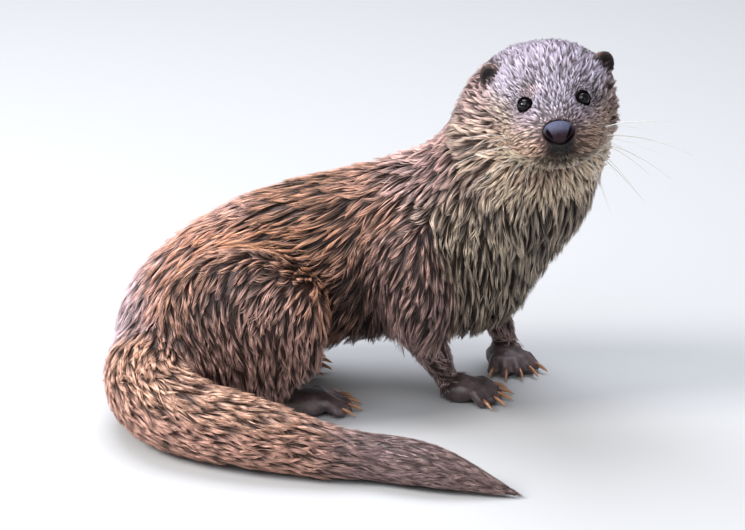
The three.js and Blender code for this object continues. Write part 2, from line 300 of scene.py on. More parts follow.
isMuzzle = ease(46, 62, forward) * isHead
isCheek = ease(2, -14, above) * ease(58, 30, forward) * isHead
faceUp = ease(-10, 6, above) * isHead
isNape = isHead * np.maximum(ease(-8, -30, forward), ease(40, 52, np.abs(aside)))
isChin = isHead * ease(-26, -31, above) * ease(40, 50, forward)
isBrow = ease(46, 20, farFrom(eyeMiddle)) * isHead
earReach = np.minimum(*[farFrom(spot) for spot in earSpots.values()])
eyeReach = np.minimum(*[farFrom(spot) for spot in eyeSpots.values()])
nearEar = ease(24, 13, earReach) * isHead * (1 - isEar)
nearEye = ease(17, 8, eyeReach) * isHead
nearNose = ease(20, 11, farFrom(noseSpot)) * isHead

isTailEnd = ease(60, 5, farFrom(tailTip))
isSleek = isTail * ease(-90, -35, spots[:, 0] / mm)
isBreast = ease(-0.25, 0.5, dot(facing, throatWay)) * np.clip(isNeck + isChest, 0, 1)
isRumpEnd = spread(ease(0.15, 0.85, -facing[:, 0]) * (ownerNames == "rump"), 16)[:, 0]
thighRise = (spots[:, 2] - thighMiddle[2]) / mm
thighDrop = ease(40, -20, thighRise + 0.3 * (thighMiddle[0] - spots[:, 0]) / mm)
isBack = ease(0.1, 0.6, facing[:, 2]) * np.clip(1 - isHead - isNeck - isTail - isThigh - isLimb, 0, 1)
armRise = (spots[:, 2] - armMiddle[2]) / mm
isElbow = isArm * ease(0.1, 0.7, -facing[:, 0]) * ease(15, -25, armRise)
isUnder = ease(0.0, -0.6, facing[:, 2]) * np.clip(1 - isHead - isTail - isLimb, 0, 1)

# the coat's measures: each row has what a plain body has, and then what each area draws it to
coatSet = {
    "depth": [6.0, (isNeck, 7.0), (isChest, 6.5), (isThigh, 6.0), (isBack, 5.0), (isTail, 4.5),
        (isSleek, 1.4), (isArm, 5.0), (isLeg, 4.0), (isHead, 3.2), (isCheek, 5.0), (faceUp, 2.3),
        (isNape, 5.5), (nearEar, 1.0), (isEar, 0.4), (isMuzzle, 1.5), (isChin, 2.8), (nearEye, 0.9),
        (nearNose, 0.5), (isFeet, 0.3), (isTailEnd, 0.8)],
    "length": [21.0, (isNeck, 22.0), (isChest, 22.0), (isThigh, 19.0), (isBack, 26.0), (isTail, 23.0),
        (isSleek, 24.0), (isArm, 21.0), (isElbow, 32.0), (isLeg, 15.0), (isHead, 18.0), (isCheek, 16.0),
        (isNape, 21.0), (nearEar, 5.0), (isEar, 3.2), (isMuzzle, 8.8), (isChin, 13.0), (nearEye, 3.4),
        (nearNose, 2.4), (isFeet, 3.8), (isTailEnd, 6.0)],
    "width": [0.98, (isNeck, 1.05), (isTail, 0.9), (isSleek, 0.55), (isLeg, 0.9), (isHead, 0.56),
        (isCheek, 0.90), (isNape, 1.1), (isEar, 0.5), (isMuzzle, 0.62), (isChin, 0.8), (nearEye, 0.40),
        (nearNose, 0.34), (isFeet, 0.5), (isTailEnd, 0.6)],
    # strands to a square millimetre
    "share": [0.28, (isNeck, 0.31), (isTail, 0.46), (isSleek, 0.50), (isLeg, 0.36), (isHead, 1.10),
        (isCheek, 0.55), (isNape, 0.32), (isEar, 1.2), (isMuzzle, 1.7), (isChin, 0.8), (nearEye, 2.5),
        (nearNose, 2.2), (isBare, 0.0)],
    "down": [0.10, (isNeck, 0.12), (isChest, 0.38), (isArm, 0.55), (isElbow, 0.85), (isBreast, 0.93),
        (isThigh * thighDrop, 0.90), (isRumpEnd, 0.85), (isTail, 0.0), (isChin, 0.5)],
    # half the breadth of a lock, mm
    "clump": [1.7, (isNeck, 2.2), (isBack, 1.4), (isTail, 1.6), (isSleek, 0.7), (isLeg, 1.3),
        (isHead, 1.1), (isCheek, 1.6), (isNape, 1.9), (isMuzzle, 1.1), (isChin, 1.4), (nearEye, 0.6),
        (isFeet, 0.9)],
    # strands to a lock
    "members": [9.0, (isNeck, 12.0), (isBack, 8.0), (isTail, 14.0), (isSleek, 8.0), (isLeg, 7.0),
        (isHead, 10.0), (isCheek, 9.5), (isNape, 10.5), (isMuzzle, 8.0), (isChin, 8.0), (nearEye, 3.0),
        (isFeet, 4.0)],
    "hang": [0.20, (isElbow, 0.9), (isUnder, 0.7), (isNeck, 0.45), (isHead, 0.1), (isTail, 0.1),
        (isLimb, 0.1)],
    # how far a tip hangs below its place, mm
    "droop": [0.0, (isUnder, 6.0), (isElbow, 9.0)],
    # each area's brightness: partly the coat's own tone, partly painted light where the coat faces the
    # light (rump, back, neck, cheeks, head, tail) and painted shade on the breast, belly and arms
    "glow": [0.0, (isBack, 0.12), (isNeck * (1 - isBreast), 0.16), (isRump, 0.26), (isRumpEnd, 0.36),
        (isThigh * thighDrop, 0.24), (isTail, 0.30), (isSleek, -0.12), (isBelly, -0.10),
        (isBreast, -0.14), (isArm, -0.06), (isHead, 0.20), (isBrow, 0.02), (isCheek, 0.72),
        (isChin, 0.10), (isNape, 0.20), (isMuzzle * ease(6, -8, above), 0.30)],
    # how dark the under hairs and the edges of the locks are: partly their own colour, partly painted shade
    # in the gaps
    "gloom": [1.0, (isHead, 0.62), (isCheek, 0.65), (isNape, 1.0), (isMuzzle, 1.0), (isSleek, 0.15)],
}


def measureOf(name):
    value, *changes = coatSet[name]
    value = np.full(len(spots), float(value))
    for share, goal in changes:
        value += (goal - value) * share
    return value


swell = skinSet["swell"] + (skinSet["pawSwell"] - skinSet["swell"]) * isFeet
spots = spots - facing * (measureOf("depth") + swell - skinSet["sink"])[:, None] * mm

# the mouth: a shallow groove round the muzzle at the lips' height
lipHeight = -skinSet["lipDrop"] - skinSet["lipSlope"] * (forward - 46)
inMouth = ease(2.2, 0.4, np.abs(above - lipHeight)) * isHead
inMouth *= ease(44, 52, forward) * ease(26, 12, np.abs(aside))
spots -= facing * (inMouth * skinSet["mouthDeep"] * mm)[:, None]
# a seat for each eye, so that the skin meets the ball under its lids
for eyeSpot in eyeSpots.values():
    away = spots - eyeSpot
    seat = sizeOf(away) < skinSet["eyeSeat"] * mm
    spots[seat] = eyeSpot + unit(away[seat]) * skinSet["eyeSeat"] * mm * skinSet["eyeSink"]
spots[:, 2] = np.maximum(spots[:, 2], skinSet["sole"] * mm)
moveTo(skinMesh, spots)
normals = normalsOf(skinMesh)

# the lie of the coat: away from the nose, then along the spine to the tail's tip and down each leg
lieSet = {"reachPower": 3.0, "rounds": 14, "noseDown": 2, "noseBack": 6}
spineNames = ["neck", "chest", "belly", "rump", "tail_base", "tail_middle", "tail_tip"]
spine = [skullSpot] + [middleOf(name) for name in spineNames]
spine[5:] = [spine[5] + np.array([-30, 10, 0]) * mm, spine[6], spine[7], tailTip]
spineBones = list(zip(spine[:-1], spine[1:]))
limbBones = []
for side in ("left", "right"):
    arm, lower, paw = [middleOf(f"{part}_{side}") for part in ("upper_arm", "forearm", "forepaw")]
    limbBones += [(arm, lower), (lower, paw), (paw, middleOf(f"claw_forepaw_{side}_3"))]
    paw = middleOf(f"hindpaw_{side}")
    limbBones += [(middleOf(f"shank_{side}"), paw - np.array([25, 0, 0]) * mm)]
    limbBones += [(paw - np.array([30, 0, 0]) * mm, middleOf(f"claw_hindpaw_{side}_3"))]


def lieAlong(bones, points):
    ways = np.zeros_like(points)
    for start, end in bones:
        way = end - start
        share = np.clip((points - start) @ way / (way @ way), 0, 1)
        reach = sizeOf(points - (start + share[:, None] * way))
        ways += unit(way) / (reach[:, None] ** lieSet["reachPower"] + 1e-9)
    return unit(ways)


def flatOn(ways, normals):
    return unit(ways - normals * dot(ways, normals)[:, None])


def blend(a, b, share):
    return a * (1 - share) + b * share


lie = flatOn(lieAlong(spineBones, spots), normals)
lie = blend(lie, -upright, measureOf("down")[:, None])
lie = blend(lie, lieAlong(limbBones, spots), isLimb[:, None])
fromNose = unit(spots - (noseSpot - (headUp * lieSet["noseDown"] + headForward * lieSet["noseBack"]) * mm))
lie = blend(lie, fromNose, (ease(-45, 10, forward) * isHead)[:, None])
lie = flatOn(spread(flatOn(lie, normals), lieSet["rounds"]), normals)

# markings: cream below, grey with a painted lilac sheen on crown, rump, neck and tail, rust on the back and
# the haunch's ridge, dark lips and feet, and painted shade in the mouth, under the nose and in the ears'
# hollows
thighRise = (spots[:, 2] - thighMiddle[2]) / mm
ridgeAway = sizeOf((spots - thighMiddle)[:, [0, 2]] / mm)
isRidge = ease(20, 4, np.abs(ridgeAway - 66)) * ease(-10, 30, thighRise) * (normals[:, 1] < 0.2)
isRidge = spread(isRidge * (1 - isTail) * (spots[:, 0] < 0), 4)[:, 0]
isTailRoot = isTail * ease(150, 60, farFrom(middleOf("tail_base"))) * ease(0.1, 0.7, normals[:, 2])
isCrown = spread(isHead * ease(-24, 14, above) * (1 - isNape), 40)[:, 0] * (1 - isEar)
beforeArm = np.maximum(ease(0, 25, (spots[:, 0] - armMiddle[0]) / mm), isNeck)
throat = ease(-0.10 - 0.34 * isNeck, 0.60 - 0.30 * isNeck, dot(normals, throatWay))
throat *= np.clip(isNeck + isChest * 0.85, 0, 1) * beforeArm * (1 - isArm)
lowest = 0.4 * ease(-0.45, -0.95, normals[:, 2]) * (1 - isTail) * (1 - isFeet) * (1 - isLeg)
creamFace = 0.95 * ease(0, -18, above) * ease(52, 34, forward)
creamSide = 0.50 * ease(22, 38, np.abs(aside)) * ease(24, 0, above) * ease(-25, 0, forward)
creamFace = np.maximum(creamFace, creamSide) * (1 - 0.35 * ease(8, 30, aside)) * (1 - 0.5 * isNape)
creamFace = np.maximum(creamFace, 0.34 * isMuzzle * ease(6, -8, above) * (1 - nearNose))
lips = ease(-24, -27, above) * ease(40, 50, forward)
cream = blend(np.maximum(throat, lowest), np.maximum(creamFace, lips), isHead)
cream = np.clip(cream, 0, 1) * (1 - isEar) * (1 - isFeet)

browSpot = middleOf("eye_right") + (headUp * 10 + headLeft * 4) * mm
isBrowPatch = ease(11, 4, farFrom(browSpot)) * isHead
rustMuzzle = isMuzzle * ease(4, -8, above) * (1 - nearNose) * (1 - lips)
rustCheek = ease(14, 30, aside) * ease(12, -10, above) * ease(20, 44, forward) * isHead
# the ear's hollow is painted dark: partly its dark skin, partly painted shade in the hollow
earHollow = isEar * ease(10.0, 7.0, earReach) * ease(-0.1, 0.4, dot(normals, headForward))
# under the nose: dark skin with painted shadow below the pad
underNose = ease(12, 8, np.abs(aside)) * ease(-9, -13, above) * ease(-26, -22.5, above)
underNose = np.maximum(underNose, ease(7, 4, np.abs(aside)) * ease(2.4, 1.2, np.abs(above + 28)))
underNose *= ease(50, 58, forward) * isHead
markSet = {
    "cream": [(cream, 1.0), (isTailRoot, 0.22)],
    # the grey is partly the crown's and feet's own grey, partly a painted lilac sheen on the crown, rump,
    # neck and tail
    "grey": [(isCrown, 1.0), (isFeet, 0.55), (isRumpEnd, 0.5), (isRump, 0.3), (isThigh, 0.15),
             (isNeck, 0.25), (isNape, 0.3), (isSleek, 0.30), (isLeg, 0.35), (isArm, 0.25)],
    "rust": [(np.clip(isThigh + isArm, 0, 1), 0.12), (isRidge, 0.6), (isTailRoot, 0.30), (isBelly, 0.40),
             (isBack, 0.24), (isBrowPatch, 0.5), (rustMuzzle, 0.08), (rustCheek, 0.25)],
    # dark: the mouth's groove, the ear's hollow and the patch under the nose are partly painted shade
    "dark": [(isFeet, 0.34), (isEar, 0.55), (earHollow, 1.0), (inMouth, 1.0), (nearEye, 0.2),
             (isSleek, 0.12), (underNose, 1.0)],
}
marks = [np.clip(sum(area * share for area, share in parts), 0, 1) for parts in markSet.values()]
marks = spread(np.stack(marks, 1), 2)


# materials
nodeGap = 180  # the nodes stand in a row in the order they are made


def plug(tree, value, socket):
    # another node's output is linked, and a plain number or colour is set on the socket itself
    if isinstance(value, bpy.types.NodeSocket):
        tree.links.new(value, socket)
    else:
        socket.default_value = value


def node(tree, kind, sockets=None, **settings):
    made = tree.nodes.new(kind)
    made.location = (len(tree.nodes) * nodeGap, 0)
    for name, value in settings.items():
        setattr(made, name, value)
    for name, value in (sockets or {}).items():
        plug(tree, value, made.inputs[name])
    return made


def mixColours(tree, share, a, b):
    mix = node(tree, "ShaderNodeMix", {"Factor": share, "A": a, "B": b}, data_type="RGBA")
    return mix.outputs["Result"]


def mixValues(tree, share, a, b):
    mix = node(tree, "ShaderNodeMix", {"Factor": share, "A": a, "B": b}, data_type="FLOAT")
    return mix.outputs["Result"]


def sums(tree, how, a, b=0.0, clamp=False):
    return node(tree, "ShaderNodeMath", {0: a, 1: b}, operation=how, use_clamp=clamp).outputs[0]


def newMaterial(name, **sockets):
    made = bpy.data.materials.new(name)
    made.use_nodes = True
    shader = made.node_tree.nodes["Principled BSDF"]
    for socket, value in sockets.items():
        shader.inputs[socket.replace("_", " ")].default_value = value
    return made, made.node_tree, shader


def feed(tree, shader, **sockets):
    for socket, value in sockets.items():
        tree.links.new(value, shader.inputs[socket.replace("_", " ")])


def bumpOf(tree, height, strength, distance):
    made = node(tree, "ShaderNodeBump", {"Strength": strength, "Distance": distance, "Height": height})
    return made.outputs["Normal"]


def noiseOf(tree, vector, scale, detail=3.0):
    made = node(tree, "ShaderNodeTexNoise", {"Scale": scale, "Detail": detail, "Vector": vector})
    return made.outputs["Fac"]


def objectPlace(tree):
    return node(tree, "ShaderNodeTexCoord").outputs["Object"]


def readVector(tree, name):
    # a stored vector, whole and as its three numbers
    place = node(tree, "ShaderNodeAttribute", attribute_name=name).outputs["Vector"]
    parts = node(tree, "ShaderNodeSeparateXYZ", {0: place})
    return place, parts.outputs


coatColours = {
    # each colour runs from a dark root to a pale tip: partly the hairs' own colour, partly painted shade at
    # the root and a painted sheen on the tip
    "brownRoot": (0.048, 0.019, 0.011, 1), "brownTip": (0.850, 0.485, 0.370, 1),
    # the grey's pale lilac tip is partly a painted sheen of the wet coat
    "greyRoot": (0.050, 0.033, 0.034, 1), "greyTip": (0.900, 0.790, 0.930, 1),
    "creamRoot": (0.065, 0.040, 0.020, 1), "creamTip": (1.000, 0.825, 0.625, 1),
    "rust": (0.720, 0.310, 0.120, 1), "dark": (0.005, 0.003, 0.003, 1),
}
coatLook = {
    "rootEnd": 0.22,  # share of a hair's length in the root's colour; the dark root is partly painted shade deep in the coat
    "wander": 0.55,  # how far one lock's markings differ from the next one's
    "creamEdge": 3.0,
    "contrast": 1.45, "least": 0.16,  # brightness of the locks, from the darkest to the palest
    "rough": 0.60, "paleRough": 0.20, "darkRough": 0.45,
}


def coatColourGroup():
    # one set of markings for skin and coat, read from the marks that both carry
    group = bpy.data.node_groups.new("coatColour", "ShaderNodeTree")
    for name, start in (("Along", 0.2), ("Vary", 0.5)):
        socket = group.interface.new_socket(name, in_out="INPUT", socket_type="NodeSocketFloat")
        socket.default_value = start
    group.interface.new_socket("Color", in_out="OUTPUT", socket_type="NodeSocketColor")
    group.interface.new_socket("Roughness", in_out="OUTPUT", socket_type="NodeSocketFloat")
    start = node(group, "NodeGroupInput")
    along, vary = start.outputs["Along"], start.outputs["Vary"]
    marksRead = node(group, "ShaderNodeAttribute", attribute_name="coatMarks")
    parts = node(group, "ShaderNodeSeparateColor", {"Color": marksRead.outputs["Color"]})
    creamMark, greySheenMark, rustMark = parts.outputs
    darkMark = marksRead.outputs["Alpha"]
    look = coatLook
    # the hair's colour from root to tip, with painted shade at the root and a painted sheen at the tip
    rise = {"Value": along, "From Min": look["rootEnd"], "From Max": 1.0}
    tip = node(group, "ShaderNodeMapRange", rise, interpolation_type="SMOOTHSTEP").outputs["Result"]
    brown, grey, cream = [
        mixColours(group, tip, coatColours[name + "Root"], coatColours[name + "Tip"])
        for name in ("brown", "grey", "cream")
    ]
    # each lock takes the marking a little sooner or later than its neighbours
    wander = sums(group, "SUBTRACT", vary, 0.5)
    wander = sums(group, "MULTIPLY", wander, look["wander"])
    creamShare = sums(group, "ADD", creamMark, wander, True)
    creamEdge = sums(group, "MULTIPLY", creamMark, look["creamEdge"], True)
    # the grey, partly a painted lilac sheen, is laid over the brown
    colour = mixColours(group, greySheenMark, brown, grey)
    colour = mixColours(group, sums(group, "MULTIPLY", creamShare, creamEdge), colour, cream)
    rustShare = sums(group, "MULTIPLY", rustMark, tip)
    colour = mixColours(group, rustShare, colour, coatColours["rust"])
    colour = mixColours(group, darkMark, colour, coatColours["dark"])
    value = sums(group, "MULTIPLY", vary, look["contrast"])
    value = sums(group, "ADD", value, look["least"])
    bright = node(group, "ShaderNodeHueSaturation", {"Value": value, "Color": colour})
    rough = sums(group, "MULTIPLY", vary, look["paleRough"])
    rough = sums(group, "SUBTRACT", look["rough"], rough)
    darkRough = sums(group, "MULTIPLY", darkMark, look["darkRough"])
    rough = sums(group, "ADD", rough, darkRough)
    node(group, "NodeGroupOutput", {"Color": bright.outputs["Color"], "Roughness": rough})
    return group


coatColour = coatColourGroup()
furLook = {
    "gloss": 0.85, "glossRise": 1.6,  # the wet sheen, mostly on the outer half of each lock
    "hairs": (4.0, 1.2, 37.0), "hairNoise": 3.0, "relief": 0.5, "height": 0.4 * mm,
}
underLook = {
    "hairs": 900.0, "patches": 60.0, "wrinkles": 230.0,
    "shade": 0.30, "bareLow": 0.22, "bareHigh": 0.50, "bareRough": 0.42,
    "relief": 0.7, "height": 1.0 * mm,
}


def furMaterial():
    made, tree, shader = newMaterial("wetFur", Specular_IOR_Level=0.4, Coat_Roughness=0.24)
    look = furLook
    place, (_, along, vary) = readVector(tree, "lockPlace")
    group = node(tree, "ShaderNodeGroup", node_tree=coatColour)
    plug(tree, along, group.inputs["Along"])
    plug(tree, vary, group.inputs["Vary"])
    sheen = sums(tree, "POWER", along, look["glossRise"])
    sheen = sums(tree, "MULTIPLY", sheen, look["gloss"], True)
    darkRead = node(tree, "ShaderNodeAttribute", attribute_name="coatMarks")
    pale = sums(tree, "SUBTRACT", 1.0, darkRead.outputs["Alpha"], True)
    # single hairs run the length of each lock
    stretch = {"Scale": look["hairs"], "Vector": place}
    stretched = node(tree, "ShaderNodeMapping", stretch, vector_type="POINT").outputs[0]
    relief = bumpOf(tree, noiseOf(tree, stretched, look["hairNoise"]), look["relief"], look["height"])
    feed(tree, shader, Base_Color=group.outputs["Color"], Roughness=group.outputs["Roughness"],
         Coat_Weight=sums(tree, "MULTIPLY", sheen, pale), Normal=relief)
    return made


def skinMaterial():
    made, tree, shader = newMaterial("underFur", Specular_IOR_Level=0.45)
    look = underLook
    place = objectPlace(tree)
    hairs = noiseOf(tree, place, look["hairs"], 2.0)
    patches = noiseOf(tree, place, look["patches"], 4.0)
    wrinkles = noiseOf(tree, place, look["wrinkles"], 6.0)
    bare = node(tree, "ShaderNodeAttribute", attribute_name="bareSkin").outputs["Fac"]
    # hair roots under the coat, painted dark as the shade between the locks, and an even tone with fine
    # wrinkles on the bare feet
    even = {"Value": patches, "To Min": look["bareLow"], "To Max": look["bareHigh"]}
    even = node(tree, "ShaderNodeMapRange", even).outputs["Result"]
    shade = sums(tree, "MULTIPLY", hairs, look["shade"])
    tone = mixValues(tree, bare, shade, even)
    group = node(tree, "ShaderNodeGroup", node_tree=coatColour)
    plug(tree, tone, group.inputs["Along"])
    plug(tree, patches, group.inputs["Vary"])
    relief = mixValues(tree, bare, hairs, wrinkles)
    feed(tree, shader, Base_Color=group.outputs["Color"],
         Roughness=mixValues(tree, bare, group.outputs["Roughness"], look["bareRough"]),
         Normal=bumpOf(tree, relief, look["relief"], look["height"]))
    return made


wetFur = furMaterial()
underFur = skinMaterial()

# the skin's object and its unwrap
keep(skinMesh, "coatMarks", marks, "FLOAT_COLOR")
keep(skinMesh, "bareSkin", np.maximum(isBare, 0.8 * isSleek + 0.45 * isHead * (1 - isNape)))
skinMesh.polygons.foreach_set("use_smooth", [True] * len(skinMesh.polygons))
skinMesh.materials.clear()
skinMesh.materials.append(underFur)
skinMesh.uv_layers.new(name="OFBake")
bpy.context.view_layer.objects.active = skin
skin.select_set(True)
bpy.ops.object.mode_set(mode="EDIT")
bpy.ops.mesh.select_all(action="SELECT")
bpy.ops.uv.smart_project(angle_limit=math.radians(skinSet["seamAngle"]), island_margin=skinSet["seamGap"])
bpy.ops.object.mode_set(mode="OBJECT")
skin.select_set(False)
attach(skin, "root")
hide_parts(*fleshNames)
print("skin unwrapped")

# locks of fur
clumpSet = {
    "near": 18, "stretch": 3.2,  # how many locks a strand picks from, and how long each is drawn out
    "pull": 0.86, "pullRise": 1.2, "underPull": 0.35,  # how far strands close up to their lock's tip
    "turn": 0.16, "loose": 0.06, "bend": 0.08, "long": (0.65, 1.35),
    "round": 0.55, "edge": 0.75,  # how much lower the edge of a lock is than its middle, and how much darker it is painted as shade
}
strandSet = {
    "sides": 3, "most": 199000,  # triangles to a piece
    "long": (0.8, 1.15), "rise": (0.7, 1.0), "wide": (0.7, 1.25),
    "firstRise": 0.10, "riseBend": 1.15, "sink": 0.4, "stray": 0.3, "floor": 0.35,  # mm for the last three
    "under": 0.24, "underRise": 0.5, "underDark": 0.75,  # share of under hair, its height, its darkness, which is partly painted shade between the locks
    "lockTone": 0.62, "strandTone": 0.38, "leastTone": 0.4, "toneRise": 0.8,
    "profile": [(0, 0.75), (0.3, 1.0), (0.65, 0.72), (1, 0.0)], "flatness": 0.42,
    "hairSpread": 40, "patchWide": 0.0026, "patchLong": 0.003,  # the patches of the OFBake map
}
skinMesh.calc_loop_triangles()
triCorners = numbersOf(skinMesh.loop_triangles, "vertices", 3, np.int32)
triLoops = numbersOf(skinMesh.loop_triangles, "loops", 3, np.int32)
triUvs = numbersOf(skinMesh.uv_layers["OFBake"].uv, "vector", 2, np.float32)[triLoops]
cornerSpots = spots[triCorners]
triSides = cornerSpots[:, 1:] - cornerSpots[:, :1]
triAreas = sizeOf(np.cross(triSides[:, 0], triSides[:, 1])) / 2
skinTree = treeOf(spots)
rootMeasures = ("depth", "length", "width", "clump", "members", "hang", "droop", "glow", "gloom")
perCorner = {
    "spot": spots, "normal": normals, "lie": lie, "marks": marks,
    **{name: measureOf(name)[:, None] for name in rootMeasures},
    "stand": 1 + (0.35 * isRidge + 0.25 * isTailRoot)[:, None],
}


def lockShape(sides, cuts):
    # a closed tapering lock from z = 0 to its tip at z = 1
    bm = bmesh.new()
    bmesh.ops.create_cone(bm, cap_ends=True, segments=sides, radius1=1, radius2=0, depth=1,
                          matrix=Matrix.Translation((0, 0, 0.5)))
    bmesh.ops.remove_doubles(bm, verts=bm.verts, dist=1e-4)
    for cut in cuts:
        whole = bm.verts[:] + bm.edges[:] + bm.faces[:]
        bmesh.ops.bisect_plane(bm, geom=whole, plane_co=(0, 0, cut), plane_no=(0, 0, 1))
    bm.verts.ensure_lookup_table()
    bm.normal_update()
    corners = np.array([v.co[:] for v in bm.verts])
    faces = [[v.index for v in f.verts] for f in bm.faces]
    bm.free()
    levels = np.array([0.0, *cuts, 1.0])
    ring = np.abs(corners[:, 2:3] - levels).argmin(1)
    around = unit(corners[:, :2])
    around[corners[:, 2] > 0.999] = 0
    return {"levels": levels, "ring": ring, "around": around, "faces": faces}


def acrossAndTop(paths, tops):
    # the ways across a strand and out of its top, square to its run
    steps = unit(np.gradient(paths, axis=1))
    sides = unit(np.cross(tops, steps))
    return sides, unit(np.cross(steps, sides))


def sweptMesh(name, shape, paths, halfWidths, tops, flatness):
    # copies of the shape laid along the paths (count, levels, 3), all in one mesh
    ring, around = shape["ring"], shape["around"]
    sideWays, topWays = acrossAndTop(paths, tops)
    corners = paths[:, ring] + sideWays[:, ring] * (around[:, 0] * halfWidths[:, ring])[..., None]
    corners = corners + topWays[:, ring] * (around[:, 1] * halfWidths[:, ring] * flatness)[..., None]
    count, perLock = corners.shape[:2]
    sizes = np.array([len(f) for f in shape["faces"]])
    flat = np.concatenate([np.array(f) for f in shape["faces"]])
    loops = (flat[None, :] + (np.arange(count) * perLock)[:, None]).ravel()
    firsts = np.concatenate([[0], np.cumsum(sizes)[:-1]])
    starts = (firsts[None, :] + (np.arange(count) * len(flat))[:, None]).ravel()
    mesh = bpy.data.meshes.new(name)
    mesh.vertices.add(count * perLock)
    giveNumbers(mesh.vertices, "co", corners)
    mesh.loops.add(len(loops))
    mesh.loops.foreach_set("vertex_index", loops.astype(np.int32))
    mesh.polygons.add(len(starts))
    mesh.polygons.foreach_set("loop_start", starts.astype(np.int32))
    mesh.polygons.foreach_set("use_smooth", np.ones(len(starts), dtype=bool))
    mesh.update(calc_edges=True)
    return mesh, loops


def rootsOn(tris, wanted, most):
    # places scattered over these triangles, so many on each, while the piece has room for them
    count = min(int(wanted.sum()), most)
    picked = tris[dice.choice(len(tris), count, p=wanted / wanted.sum())]
    a, b = np.sqrt(dice.random(count)), dice.random(count)
    shares = np.stack([1 - a, a * (1 - b), a * b], 1)[..., None]
    found = {name: (values[triCorners[picked]] * shares).sum(1) for name, values in perCorner.items()}
    found["uv"] = (triUvs[picked] * shares).sum(1)
    return found


def turned(ways, axes, angles):
    side = np.cross(axes, ways)
    return ways * np.cos(angles)[:, None] + side * np.sin(angles)[:, None]


def ownersOf(roots, heads):
    # a strand joins the lock nearest to it across the lie, the way along it counting for less
    spots, ways = roots["spot"], unit(roots["lie"])
    tree = treeOf(spots[heads])
    close = heads[np.array([[hit[1] for hit in tree.find_n(p, clumpSet["near"])] for p in spots.tolist()])]
    away = spots[close] - spots[:, None]
    along = (away * ways[:, None]).sum(-1)
    score = (away ** 2).sum(-1) - along ** 2 * (1 - clumpSet["stretch"] ** -2)
    return close[np.arange(len(spots)), score.argmin(1)]


def layStrands(roots, levels, way, side, length, rise, bends):
    # the middle line of each strand, and the way out of the coat along it
    paths = np.empty((len(length), len(levels), 3))
    tops = np.empty_like(paths)
    for k, t in enumerate(levels):
        bow = (bends * length * math.sin(math.pi * t))[:, None]
        place = roots["spot"] + way * (length * t)[:, None] + side * bow
        if t > 0:
            near = nearestIn(skinTree, place)
            top = unit(normals[near])
            share = blend(strandSet["firstRise"], 1, t ** strandSet["riseBend"])
            lift = rise * share - dot(place - spots[near], top)
            lift = np.where(lift < 0, lift * (1 - roots["hang"][:, 0]), lift)
            place = place + top * lift[:, None]
        else:
            top = unit(roots["normal"])
            place = place - top * strandSet["sink"] * mm
        paths[:, k], tops[:, k] = place, top
    return paths, tops


def dressCoat(name, mesh, loops, shape, roots, vary, hairStarts):
    # the coat's marks and hairs, which its material reads, and its OFBake patches
    ring, around, levels = shape["ring"], shape["around"], shape["levels"]
    count, perLock = len(vary), len(ring)
    keep(mesh, "coatMarks", np.repeat(roots["marks"], perLock, axis=0), "FLOAT_COLOR")
    across = np.tile(around[:, 0], count) + np.repeat(hairStarts, perLock)
    along = np.tile(levels[ring], count)
    keep(mesh, "lockPlace", np.stack([across, along, np.repeat(vary, perLock)], 1), "FLOAT_VECTOR")
    patchAcross = around[:, 0] * strandSet["patchWide"] / 2
    patch = np.stack([patchAcross, (levels[ring] - 0.5) * strandSet["patchLong"]], 1)
    uvs = (roots["uv"][:, None, :] + patch[None]).reshape(-1, 2)
    mesh.uv_layers.new(name="OFBake")
    giveNumbers(mesh.uv_layers["OFBake"].uv, "vector", np.clip(uvs[loops], 0, 1))
    mesh.materials.append(wetFur)
    made = newObject(name, mesh)
    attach(made, "root")


